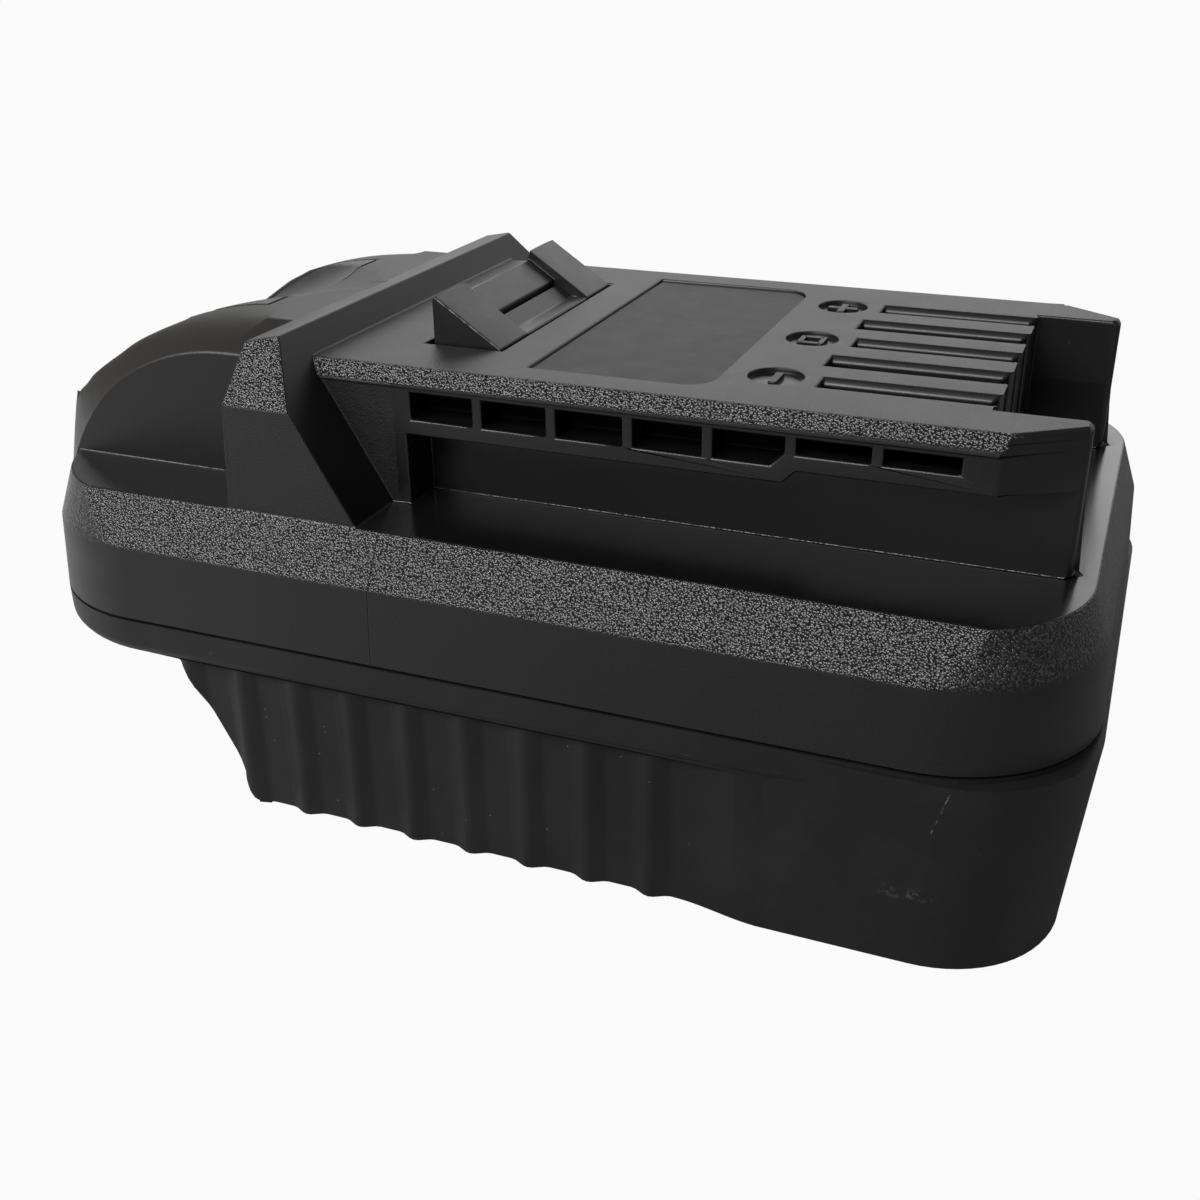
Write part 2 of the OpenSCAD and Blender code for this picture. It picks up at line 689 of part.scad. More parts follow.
module lower_shell() {
    skirt_y = bay_w / 2 + skirt_t;
    color("#1b1c1d") {
        difference() {
            union() {
                slab(floor_z, part_z, 0, 0);
                slab(ceiling_z, floor_z - floor_t / 2, floor_t * 1.5, floor_t * 0.35);
                slab(floor_z - floor_t / 2, floor_z, floor_t * 0.35, 0);
                along_y(skirt_y) skirt_side(floor_z - floor_t / 4);
                bumper();
                for (s = [-1, 1]) ribs(s);
            }
            slab(floor_z, part_z + 1, wall, wall);
            difference() {
                middle(rear_x - 5, bay_end, bay_w, -1, ceiling_z);
                for (s = [-1, 1]) {
                    y = s * bay_w / 2;
                    block([rear_x, min(y, y - s * lip_in), -2], [front_x, max(y, y - s * lip_in), lip_h]);
                }
            }
            middle(block_x0 - 0.3, block_x1 + 0.3, block_w + 0.6, ceiling_z - 1, floor_z + 1);
            for (p = case_places) translate([p[0], p[1], ceiling_z - 1]) cylinder(h = 20, r = head_r + 0.4);
            middle(ridge_x + 3, ridge_x + 3 + catch_l, catch_w, ceiling_z - 1, floor_z + 1);
            for (p = terminal_places) translate([p[0], p[1], floor_z - 1.3]) cylinder(h = 5, r = small_r + 0.03);
        }
        for (p = terminal_places) translate([p[0], p[1], floor_z - eps]) difference() {
            cylinder(h = seat_h + eps, r = post_r);
            translate([0, 0, -1]) cylinder(h = seat_h + 2, r = small_r + 0.03);
        }
        difference() {
            middle(ridge_x + 3 - wall, ridge_x + 3 + catch_l + wall, catch_w + 2 * wall,
                ceiling_z, ceiling_z + catch_d + wall);
            middle(ridge_x + 3, ridge_x + 3 + catch_l, catch_w, ceiling_z - 1, ceiling_z + catch_d);
        }
        for (p = case_places) translate([p[0], p[1], 0]) difference() {
            translate([0, 0, ceiling_z]) cylinder(h = cup_z - ceiling_z, r = head_r + 1.6);
            translate([0, 0, ceiling_z - 1]) cylinder(h = floor_t + 1, r = head_r + 0.4);
            cylinder(h = part_z + 5, r = screw_r + 0.3);
        }
        for (s = [-1, 1]) {
            translate([spring_x, s * spring_y, floor_z - eps]) {
                cylinder(h = spring_seat - floor_z + eps, r = spring_d / 2 + 1);
                cylinder(h = spring_seat - floor_z + 3, r = spring_pin_r);
            }
            translate([holder_x0 + 3, s * slot_pitch, floor_z - eps])
                cylinder(h = holder_z0 - floor_z + eps, r = 2);
            translate([board_x0 + board_l - 1.3 * post_r, s * (board_w / 2 - 1.3 * post_r), floor_z - eps])
                cylinder(h = board_post + eps, r = post_r);
        }
        for (p = board_places) translate([p[0], p[1], floor_z - eps]) difference() {
            cylinder(h = board_post + eps, r = post_r);
            translate([0, 0, board_post / 8]) cylinder(h = board_post + 1, r = small_r + 0.03);
        }
    }
}

module label_plate() {
    color("#3a3c3e") translate([0, 0, plate_z - mark_d]) linear_extrude(label_t) label_plan(0.12);
}

// Side view of a hook, its slope lowered by d
module hook_side(d) {
    polygon([
        [hook_x, latch_bottom], [hook_x, plate_z + hook_h - d], [hook_x + 0.4, plate_z + hook_h - d],
        [hook_foot, plate_z - d], [hook_foot, latch_bottom]
    ]);
}

// The button, inset by d, up to the radius r of the hump's fall
module button_block(d, r, z0) {
    intersection() {
        middle(button_x0 + d, button_x1 - 2 * d, button_w - 2 * d, z0, ridge_z);
        translate([hump_cx, 0, hump_cz]) rotate([90, 0, 0]) cylinder(h = band_w, r = r, center = true);
    }
}

module release_latch() {
    arm_z = latch_bottom - 3;
    arm_w = 2 * (spring_y - spring_d / 2 - 0.6);
    color("#2b2c2d") {
        difference() {
            union() {
                along_y(hook_out) hook_side(1.1);
                for (s = [-1, 1]) translate([0, s * (hook_gap + hook_w) / 2, 0])
                    along_y(hook_w / 2) hook_side(0);
                middle(spring_x - spring_d / 2 - 1.4, hook_foot, 2 * hook_out, latch_bottom, latch_top);
                middle(button_x1 - wall, spring_x, arm_w, arm_z, latch_bottom + 2);
                button_block(0, hump_r, ledge_z);
            }
            button_block(wall, hump_r - scoop_d - wall, ledge_z - 1);
            middle(hook_x + 3.6, hook_x + 4.5, hook_gap, plate_z - 1, plate_z + hook_h);
            middle(hook_x + 4.4, hook_foot + 1, hook_gap, plate_z - 0.1, plate_z + hook_h);
            scoop(0.15);
        }
        for (s = [-1, 1]) translate([spring_x, s * spring_y, latch_bottom - 2.4])
            cylinder(h = 2.5, r = spring_pin_r);
    }
}

// One closed tube through rings of points, with flat ends
module tube(rings) {
    n = len(rings[0]);
    m = len(rings);
    points = [for (ring = rings) each ring];
    sides = [
        for (i = [0 : m - 2], j = [0 : n - 1])
        let (a = i * n + j, b = i * n + (j + 1) % n)
        each [[a, a + n, b], [b, a + n, b + n]]
    ];
    ends = [for (j = [1 : n - 2]) each [[0, j, j + 1], [(m - 1) * n, (m - 1) * n + j + 1, (m - 1) * n + j]]];
    polyhedron(points, concat(sides, ends));
}

function unit(v) = v / norm(v);

// A ring of n points about p, square to the direction t
function ring_at(p, t, r, n, side = [0, 1, 0]) =
    let (u = unit(cross(t, side)), v = unit(cross(u, t)))
    [for (j = [0 : n - 1]) p + r * (cos(360 * j / n) * u - sin(360 * j / n) * v)];

// A smooth curve through hand-chosen points
function curve(p, steps = 3) = [
    for (i = [0 : len(p) - 2], k = [0 : steps - 1])
    let (
        a = i == 0 ? 2 * p[0] - p[1] : p[i - 1],
        d = i == len(p) - 2 ? 2 * p[i + 1] - p[i] : p[i + 2],
        t = k / steps
    )
    0.5 * (2 * p[i] + (p[i + 1] - a) * t + (2 * a - 5 * p[i] + 4 * p[i + 1] - d) * t * t
        + (3 * p[i] - a - 3 * p[i + 1] + d) * t * t * t),
    p[len(p) - 1]
];

// A wire of radius r through hand-chosen points
module wire(p, r) {
    c = curve(p);
    m = len(c) - 1;
    tube([
        for (i = [0 : m])
        ring_at(c[i], i == 0 ? p[1] - p[0] : i == m ? p[len(p) - 1] - p[len(p) - 2]
            : c[i + 1] - c[i - 1], r, 8)
    ]);
}

// Points of the return spring's centre line, just clear of its seats
spring_play = 0.12;
spring_l = latch_bottom - spring_seat - spring_wire - 2 * spring_play;
spring_mid_r = (spring_d - spring_wire) / 2;
spring_steps = spring_turns * 8;
function spring_point(i) =
    let (turn = i / 8, a = 360 * turn)
    [spring_mid_r * cos(a), spring_mid_r * sin(a), spring_play + spring_wire / 2 + spring_l * i / spring_steps];
spring_line = [for (i = [0 : spring_steps]) spring_point(i)];

module spring(s) {
    color("#b9bcc0") translate([spring_x, s * spring_y, spring_seat]) tube([
        for (i = [0 : spring_steps])
        let (a = 360 * i / 8, t = [-sin(a), cos(a), spring_l / spring_turns / (2 * PI * spring_mid_r)])
        ring_at(spring_line[i], t, spring_wire / 2, 6, [cos(a), sin(a), 0])
    ]);
}

module latch_spring_left() {
    spring(1);
}

module latch_spring_right() {
    spring(-1);
}

module contact_holder() {
    color("#2a2b2c") difference() {
        middle(holder_x0, holder_x1, 2 * rail_in - 0.4, holder_z0, holder_z1);
        slots(holder_z0 + 6, 0.6);
        for (i = [0, 2, 4]) translate([0, (i - 2) * slot_pitch, 0]) {
            middle(clip_x - 0.2, bay_x, slot_w + 0.6, clip_z, plate_z);
            middle(tail_x - tail_w / 2 - 0.2, tail_x + tail_w / 2 + 0.2, 3 * clip_t, holder_z0 - 1, plate_z);
        }
    }
}

// A spring contact: two leaves that lean together, on a base with a tail
module contact(i) {
    w = slot_w / 2;
    top = plate_z - 3;
    translate([0, (i - 2) * slot_pitch, 0]) {
        along_x(clip_x, clip_x + clip_l) {
            translate([-w, clip_z]) square([2 * w, clip_t]);
            for (s = [-1, 1]) polygon([
                [s * w, clip_z], [s * (w - clip_t), clip_z], [s * (w - clip_t), top - 5],
                [s * 0.3, top - 1.6], [s * (w - clip_t), top], [s * w, top],
                [s * (0.3 + clip_t), top - 1.6], [s * w, top - 5]
            ]);
        }
        middle(tail_x - tail_w / 2, tail_x + tail_w / 2, 2 * clip_t, tail_z, clip_z + clip_t);
    }
}

module negative_contact() {
    color("#c9b37a") contact(0);
}

module signal_contact() {
    color("#c9b37a") contact(2);
}

module positive_contact() {
    color("#c9b37a") contact(4);
}

module terminal_block() {
    color("#303234") difference() {
        union() {
            middle(block_x0, block_x1, block_w, block_z0, seat_z + ear_t);
            middle(block_x0 + 2, block_x1 - 2, block_w + 2 * flange_lip, seat_z, seat_z + ear_t);
        }
        for (p = terminal_places) translate([p[0], p[1], seat_z - 1]) cylinder(h = 5, r = small_r + 0.2);
        for (s = [-1, 1]) translate([0, s * blade_span / 2, 0]) blade(0.05);
        signal_pins_at(0.05);
    }
}

// A blade with its stem up through the terminal block, grown by d
module blade(d) {
    t = blade_t + 2 * d;
    middle(block_x0 - blade_l, stem_x + stem_w / 2 + d, t, blade_z - blade_w / 2 - d, blade_z + blade_w / 2 + d);
    middle(stem_x - stem_w / 2 - d, stem_x + stem_w / 2 + d, t, blade_z, stem_z);
}

module negative_blade() {
    color("#d9c48f") translate([0, -blade_span / 2, 0]) blade(0);
}

module positive_blade() {
    color("#d9c48f") translate([0, blade_span / 2, 0]) blade(0);
}

// Flat pins through the socket and up through the terminal block
module signal_pins_at(d) {
    for (s = [-1, 1]) translate([0, s * socket_w / 5, 0]) {
        middle(block_x0 - 0.8 * socket_l, pin_x + pin_w / 2 + d, pin_t + 2 * d,
            blade_z - pin_w / 2 - d, blade_z + pin_w / 2 + d);
        middle(pin_x - pin_w / 2 - d, pin_x + pin_w / 2 + d, pin_t + 2 * d, blade_z, stem_z);
    }
}

module signal_pins() {
    color("#d9c48f") signal_pins_at(0);
}

module signal_socket() {
    h = ceiling_z - block_z0 - 2 * socket_t;
    color("#c8a52c") difference() {
        middle(block_x0 - socket_l, block_x0, socket_w, blade_z - h / 2, blade_z + h / 2);
        middle(block_x0 - socket_l - 1, block_x0 - socket_t, socket_w - 2 * socket_t,
            blade_z - h / 2 + socket_t, blade_z + h / 2 - socket_t);
        signal_pins_at(0.05);
    }
}

module signal_board() {
    color("#1f5a3a") difference() {
        middle(board_x0, board_x0 + board_l, board_w, board_z, board_z + board_t);
        for (p = board_places) translate([p[0], p[1], board_z - 1]) cylinder(h = 4, r = small_r + 0.2);
    }
}

module control_chip() {
    x = board_x0 + board_l * 0.45;
    z = board_z + board_t;
    color("#17181a") {
        middle(x - 2.5, x + 2.5, 4, z + 0.15, z + 1.7);
        for (i = [0 : 3], s = [-1, 1]) translate([x + (i - 1.5) * 1.27, s * 2.6, z])
            middle(-0.2, 0.2, 1.3, 0, 0.4);
    }
}

module id_resistors() {
    z = board_z + board_t;
    color("#1d1e20") for (i = [0 : 2])
        translate([board_x0 + board_l - 6, (i - 1) * 4, z]) middle(-1.6, 1.6, 1.6, 0, 0.6);
}

// Wires, from the contacts' tails down to the stems of the battery terminals
module power_wire(s) {
    y0 = s * 2 * slot_pitch;
    y1 = s * blade_span / 2;
    wire([
        [tail_x, y0, tail_z], [tail_x, y0, tail_z - 2 * power_r],
        [tail_x + 2.5 * power_r, y0 + s * power_r, tail_z - 4.5 * power_r],
        [stem_x - 5 * power_r, y1 + s * power_r, tail_z - 4.3 * power_r],
        [stem_x, y1, stem_z + 2.5 * power_r], [stem_x, y1, stem_z]
    ], power_r);
}

module negative_wire() {
    color("#151515") power_wire(-1);
}

module positive_wire() {
    color("#a3201c") power_wire(1);
}

module sense_wire() {
    x1 = board_x0 + board_l - 3 * signal_r;
    z1 = board_z + board_t;
    color("#d8d8d2") wire([
        [tail_x, 0, tail_z], [tail_x, 0, tail_z - 2 * signal_r],
        [(tail_x + x1) / 2, 0, tail_z - 4 * signal_r], [x1, 0, z1 + 3.5 * signal_r], [x1, 0, z1]
    ], signal_r);
}

module data_wire() {
    x0 = board_x0 + board_l - 3 * signal_r;
    z0 = board_z + board_t;
    y0 = 4 * signal_r;
    y1 = socket_w / 5;
    color("#d7b23a") wire([
        [x0, y0, z0], [x0, y0, z0 + 2 * signal_r], [x0 + 7 * signal_r, y0, z0 + 3 * signal_r],
        [pin_x - 7 * signal_r, y1 + signal_r, stem_z + 5 * signal_r],
        [pin_x, y1, stem_z + 3 * signal_r], [pin_x, y1, stem_z]
    ], signal_r);
}

// A pan-head screw, head down, with its seat at z = 0
module screw(r, l, hr, hh) {
    difference() {
        translate([0, 0, -hh]) cylinder(h = hh, r = hr);
        for (a = [0, 90]) rotate(a) middle(-hr * 0.6, hr * 0.6, hr * 0.3, -hh - 1, -hh * 0.5);
    }
    cylinder(h = l, r = r);
}

module case_screws() {
    color("#8a8d91") for (p = case_places) translate([p[0], p[1], floor_z])
        screw(screw_r, screw_l, head_r, head_h);
}

module terminal_screws() {
    color("#a9acb0") for (p = terminal_places) translate([p[0], p[1], seat_z + ear_t]) rotate([180, 0, 0])
        screw(small_r, seat_h + ear_t + floor_t / 2, small_head_r, small_head_h);
}

module board_screws() {
    color("#a9acb0") for (p = board_places) translate([p[0], p[1], board_z + board_t]) rotate([180, 0, 0])
        screw(small_r, board_t + board_post * 0.75, small_head_r, small_head_h);
}

echo(spring_least_gap = min([
    for (i = [0 : spring_steps - 6], j = [i + 6 : spring_steps]) norm(spring_line[i] - spring_line[j])
]) - spring_wire);

upper_shell();
lower_shell();
label_plate();
release_latch();
latch_spring_left();
latch_spring_right();
contact_holder();
negative_contact();
signal_contact();
positive_contact();
terminal_block();
negative_blade();
positive_blade();
signal_socket();
signal_pins();
signal_board();
control_chip();
id_resistors();
negative_wire();
positive_wire();
sense_wire();
data_wire();
case_screws();
terminal_screws();
board_screws();
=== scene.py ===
import math
import bmesh
import bpy
from mathutils import Matrix, Vector


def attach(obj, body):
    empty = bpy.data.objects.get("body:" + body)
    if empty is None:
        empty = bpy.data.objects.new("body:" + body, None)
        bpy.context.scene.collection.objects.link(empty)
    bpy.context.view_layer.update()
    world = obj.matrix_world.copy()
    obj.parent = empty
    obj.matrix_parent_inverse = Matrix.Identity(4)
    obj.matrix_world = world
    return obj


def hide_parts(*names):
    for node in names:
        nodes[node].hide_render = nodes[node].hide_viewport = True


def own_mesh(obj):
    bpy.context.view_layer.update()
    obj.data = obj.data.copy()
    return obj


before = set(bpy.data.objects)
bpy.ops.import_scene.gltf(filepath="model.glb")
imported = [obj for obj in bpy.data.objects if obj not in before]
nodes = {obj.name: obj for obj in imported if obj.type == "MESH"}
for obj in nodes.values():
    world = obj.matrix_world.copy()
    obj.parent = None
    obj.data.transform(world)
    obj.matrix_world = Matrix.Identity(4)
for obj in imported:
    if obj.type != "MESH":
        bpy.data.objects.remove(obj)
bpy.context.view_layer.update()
scene = bpy.context.scene
mm = 0.001
print("frame loaded,", len(nodes), "solids")


class Socket:
    # one output of a node; arithmetic on it adds Math nodes to the same tree
    def __init__(self, tree, output=None):
        self.tree = tree
        self.output = output

    def add(self, kind, settings, inputs, out=0):
        node = self.tree.nodes.new("ShaderNode" + kind)
        for key, value in settings.items():
            if key == "stops":
                ramp = node.color_ramp.elements
                while len(ramp) < len(value):
                    ramp.new(0.5)
                for stop, (place, colour) in zip(ramp, value):
                    stop.position = place
                    stop.color = colour
            else:
                setattr(node, key, value)
        for key, value in inputs.items():
            if isinstance(value, Socket):
                self.tree.links.new(value.output, node.inputs[key])
            else:
                node.inputs[key].default_value = value
        return Socket(self.tree, node.outputs[out])

    def maths(self, operation, a, b):
        return self.add("Math", {"operation": operation}, {0: a, 1: b})

    def __add__(self, other):
        return self.maths("ADD", self, other)

    def __radd__(self, other):
        return self.maths("ADD", other, self)

    def __sub__(self, other):
        return self.maths("SUBTRACT", self, other)

    def __rsub__(self, other):
        return self.maths("SUBTRACT", other, self)

    def __mul__(self, other):
        return self.maths("MULTIPLY", self, other)

    def __rmul__(self, other):
        return self.maths("MULTIPLY", other, self)

    def __abs__(self):
        return self.maths("ABSOLUTE", self, 0.0)

    def least(self, other):
        return self.maths("MINIMUM", self, other)

    def most(self, other):
        return self.maths("MAXIMUM", self, other)

    def step(self, low, high):  # 0 below low, 1 above high, smooth between
        return self.add("MapRange", {"interpolation_type": "SMOOTHSTEP"},
                        {"Value": self, "From Min": low, "From Max": high})

    def within(self, low, high, soft):
        return self.step(low - soft, low + soft) * (1 - self.step(high - soft, high + soft))

    def noise(self, scale, detail=2.0, rough=0.5):
        return self.add("TexNoise", {}, {"Vector": self, "Scale": scale, "Detail": detail,
                                         "Roughness": rough})

    def cells(self, scale, out=0):
        return self.add("TexVoronoi", {}, {"Vector": self, "Scale": scale}, out)

    def axes(self):
        node = self.add("SeparateXYZ", {}, {"Vector": self})
        return [Socket(self.tree, o) for o in node.output.node.outputs]

    def stretched(self, size):
        return self.add("VectorMath", {"operation": "MULTIPLY"}, {0: self, 1: size})

    def mix(self, a, b):
        return self.add("Mix", {"data_type": "RGBA"}, {0: self, 6: a, 7: b}, 2)


def grey(level, warm=0.0):
    return (level * (1 + warm), level, level * (1 - warm), 1)


class Finish:
    # a material with its surface point in millimetres and its outward direction
    def __init__(self, name, fixed):
        self.material = bpy.data.materials.new(name)
        self.material.use_nodes = True
        tree = self.material.node_tree
        self.shader = tree.nodes["Principled BSDF"]
        for key, value in fixed.items():
            self.shader.inputs[key].default_value = value
        self.base = Socket(tree)
        spot = self.base.add("TexCoord", {}, {}, "Object")
        self.point = self.base.add("VectorMath", {"operation": "SCALE"}, {0: spot, "Scale": 1000})
        self.out = self.base.add("TexCoord", {}, {}, "Normal")

    def feed(self, key, socket):
        self.base.tree.links.new(socket.output, self.shader.inputs[key])

    def relief(self, height, strength=1.0):  # height in millimetres
        self.feed("Normal", self.base.add("Bump", {}, {
            "Strength": strength, "Distance": mm, "Height": height}))

    def paint(self, *names):
        for name in names:
            slots = nodes[name].data.materials
            slots.clear()
            slots.append(self.material)
        return self.material


# levels and stations of the upper moulding, in millimetres
levels = {
    "bandTop": 30.3, "ledge": 35.7, "flange": 43.4, "plate": 50.35, "ridgeRear": -27.8,
    "ridgeFront": -23.4, "ridgeFoot": -12.5, "railSide": 24,
}

upperFinish = {
    # the top plate's colour is painted lighter, a painted sheen, and the crown colour is a painted brown
    # reflection
    "plastic": grey(0.0045), "crownPaintedReflection": grey(0.007, 0.2), "plate": grey(0.011),
    # the two pebble colours: dark valleys and pale tops, painted shade and painted glints on the grain
    "grain": grey(0.003), "paintedPebbleGlint": grey(0.045),
    "pebble": 4.0, "pebbleDepth": 0.055, "fineSize": 4.5, "fineDepth": 0.045, "satinDepth": 0.028,
    "smoothDepth": 0.005, "wear": grey(0.06), "seamAt": -10.55, "seamDeep": 0.12,
    "rough": {"grain": 0.28, "plate": 0.44, "smooth": 0.38, "ledge": 0.2, "web": 0.3, "satin": 0.42,
              "crown": 0.48, "ridgeEnd": 0.12},
    "fixed": {"IOR": 1.5, "Specular IOR Level": 0.5},
}


def paintUpper(s):
    f = Finish("upperBlack", s["fixed"])
    p = f.point
    x, y, z = p.axes()
    nx, ny, nz = f.out.axes()
    side = abs(y)
    chamfer = z.within(levels["bandTop"], levels["ledge"], 0.2) * nz.within(0.2, 0.85, 0.06)
    facet = z.step(46.5, 47.2) * nz.within(0.3, 0.9, 0.08) * abs(ny).step(0.3, 0.45) * side.step(23.8, 24.3)
    grain = chamfer.most(facet * x.step(levels["ridgeRear"] - 0.6, levels["ridgeRear"]))
    # plate: the up-facing top plate, painted lighter below as a painted sheen
    plate = z.step(levels["plate"] - 0.15, levels["plate"] + 0.15) * nz.step(0.9, 0.97)
    plate = plate * x.step(levels["ridgeFront"] - 0.2, levels["ridgeFront"] + 0.2)
    low = (1 - z.step(levels["flange"] - 0.1, levels["flange"] + 0.2)) * z.step(35.3, 35.6)
    low = low * x.step(levels["ridgeFoot"] - 1.5, levels["ridgeFoot"])
    ledge = low * nz.step(0.6, 0.8)
    web = low * (1 - nz.step(0.6, 0.8))
    # crown: the up-facing top of the hump, given a painted brown reflection below
    crown = (1 - x.step(-27.9, -27.5)) * z.step(38, 42) * nz.step(0.25, 0.6)
    outer = side.step(levels["railSide"] - 1, levels["railSide"])
    satin = (1 - z.step(30.1, 30.5)).most((1 - nz.step(0.2, 0.3)) * outer)
    ridgeEnd = satin * x.within(-27.6, -12.5, 0.1) * z.step(35.8, 36.1) * abs(ny).step(0.8, 0.9)
    cell = p.cells(s["pebble"])
    pebbles = 1 - cell * cell * 2 + p.noise(s["pebble"] * 0.7, 2.0, 0.5) * 1.2
    # the pebble tops, which are painted pale below as painted glints
    tops = pebbles.step(1.0, 1.6)
    fine = p.noise(s["fineSize"], 3.0, 0.6)
    rest = 1 - grain.most(plate).most(satin)
    height = pebbles * (grain * s["pebbleDepth"])
    height = height + fine * ((plate + ridgeEnd) * s["fineDepth"] + satin * s["satinDepth"]
                              + rest * s["smoothDepth"])
    seam = x.within(s["seamAt"] - 0.05, s["seamAt"] + 0.05, 0.04) * y.within(-40, -30, 1)
    seam = seam * (1 - z.step(35.2, 35.6))
    f.relief(height - seam * s["seamDeep"])
    rough = s["rough"]
    value = rough["smooth"] + grain * (rough["grain"] - rough["smooth"])
    value = value + plate * (rough["plate"] - rough["smooth"]) + satin * (rough["satin"] - rough["smooth"])
    value = value + ledge * (rough["ledge"] - rough["smooth"]) + web * (rough["web"] - rough["smooth"])
    value = value + crown * (rough["crown"] - rough["smooth"]) + ridgeEnd * rough["ridgeEnd"]
    cloud = p.noise(0.12, 3.0, 0.6)
    f.feed("Roughness", value + (cloud - 0.5) * 0.08)
    specks = (1 - p.cells(1.1).step(0.05, 0.1)) * p.cells(1.1, 1).step(0.9, 0.93)
    # the chamfer's pebble grain: painted shade in the valleys and painted glints on the tops
    colour = grain.mix(s["plastic"], tops.mix(s["grain"], s["paintedPebbleGlint"]))
    # painted sheen: the top plate is painted lighter; painted reflection: the hump's crown is tinted brown
    colour = plate.mix(crown.mix(colour, s["crownPaintedReflection"]), s["plate"])
    colour = (specks * 0.8).mix(colour, s["wear"])
    f.feed("Base Color", colour)
    f.paint("upper_shell")


paintUpper(upperFinish)

# painted shade: the rail's windows, the slots and the parting gap are painted near black, standing for the
# shadow inside them
hollow = {"colour": grey(0.0012), "rough": 0.6, "size": 2.0, "depth": 0.02, "shine": 0.12}


def paintHollowShade(s):
    f = Finish("hollowPaintedShade", {"Specular IOR Level": s["shine"]})
    cloud = f.point.noise(s["size"], 3.0, 0.6)
    f.feed("Base Color", cloud.mix(s["colour"], grey(s["colour"][0] * 2)))
    f.feed("Roughness", s["rough"] + (cloud - 0.5) * 0.2)
    f.relief(cloud * s["depth"])
    return f.material


hollowPaintedShade = paintHollowShade(hollow)

lowerFinish = {
    "rubber": grey(0.006), "pale": grey(0.01), "dust": grey(0.15),
    "grainSize": 4.0, "grainDepth": 0.012, "fixed": {"IOR": 1.5, "Specular IOR Level": 0.36},
    "rough": 0.5, "scratch": ((47.8, 15.9), (49.4, 21.7)),
}


def paintLower(s):
    f = Finish("lowerBlack", s["fixed"])
    p = f.point
    x, y, z = p.axes()
    cloud = p.noise(0.09, 4.0, 0.6)
    fine = p.noise(s["grainSize"], 3.0, 0.65)
    f.relief(fine * s["grainDepth"])
    dust = (1 - p.cells(1.2).step(0.06, 0.12)) * p.cells(1.2, 1).step(0.86, 0.9)
    near = 1 - y.step(-36.4, -36)
    broken = p.noise(1.4, 3.0, 0.7).step(0.5, 0.62)
    scuff = x.within(43.8, 48.4, 0.8).most(x.within(56.6, 58.2, 0.5))
    scuff = z.within(8, 9, 0.5) * scuff * near * broken
    (x0, z0), (x1, z1) = s["scratch"]
    line = x - x0 - (z - z0) * ((x1 - x0) / (z1 - z0))
    scratch = (1 - abs(line).step(0.03, 0.1)) * z.within(z0, z1, 0.2) * near * broken
    colour = cloud.step(0.35, 0.75).mix(s["rubber"], s["pale"])
    f.feed("Base Color", (dust * 0.7).most(scuff * 0.25).most(scratch * 0.6).mix(colour, s["dust"]))
    f.feed("Roughness", s["rough"] + (cloud - 0.5) * 0.12 + (fine - 0.5) * 0.1)
    f.paint("lower_shell")


paintLower(lowerFinish)

plainFinishes = {
    "latchBlack": {"nodes": ["release_latch"], "colour": grey(0.005), "pale": grey(0.008), "rough": 0.36,
                   "size": 4.0, "depth": 0.014, "shine": 0.38,
                   "paleEdge": {"y": -15.75, "from": (-11.9, 55.6), "to": (-4.4, 50.65), "pale": grey(0.13)}},
    "labelGrey": {"nodes": ["label_plate"], "colour": grey(0.011), "pale": grey(0.014), "rough": 0.54,
                  "size": 6.0, "depth": 0.03, "shine": 0.33},
    "holderBlack": {"nodes": ["contact_holder"], "colour": grey(0.012), "pale": grey(0.02), "rough": 0.45,
                    "size": 4.0, "depth": 0.01},
    "blockBlack": {"nodes": ["terminal_block"], "colour": grey(0.014), "pale": grey(0.024), "rough": 0.48,
                   "size": 4.0, "depth": 0.012},
    "socketYellow": {"nodes": ["signal_socket"], "colour": (0.6, 0.42, 0.06, 1), "pale": (0.68, 0.5, 0.1, 1),
                     "rough": 0.45, "size": 4.0, "depth": 0.01},
    "boardGreen": {"nodes": ["signal_board"], "colour": (0.02, 0.12, 0.05, 1), "pale": (0.03, 0.17, 0.07, 1),
                   "rough": 0.3, "size": 1.2, "depth": 0.01},
    "chipBlack": {"nodes": ["control_chip", "id_resistors"], "colour": grey(0.012), "pale": grey(0.02),
                  "rough": 0.55, "size": 9.0, "depth": 0.01},
    "sleeveBlack": {"nodes": ["negative_wire"], "colour": grey(0.012), "pale": grey(0.02), "rough": 0.45,
                    "size": 3.0, "depth": 0.01},
    "sleeveRed": {"nodes": ["positive_wire"], "colour": (0.38, 0.02, 0.015, 1), "pale": (0.45, 0.04, 0.03, 1),
                  "rough": 0.45, "size": 3.0, "depth": 0.01},
    "sleeveWhite": {"nodes": ["sense_wire"], "colour": (0.7, 0.7, 0.66, 1), "pale": (0.78, 0.78, 0.75, 1),
                    "rough": 0.45, "size": 3.0, "depth": 0.01},
    "sleeveYellow": {"nodes": ["data_wire"], "colour": (0.65, 0.42, 0.04, 1), "pale": (0.72, 0.5, 0.08, 1),
                     "rough": 0.45, "size": 3.0, "depth": 0.01},
}


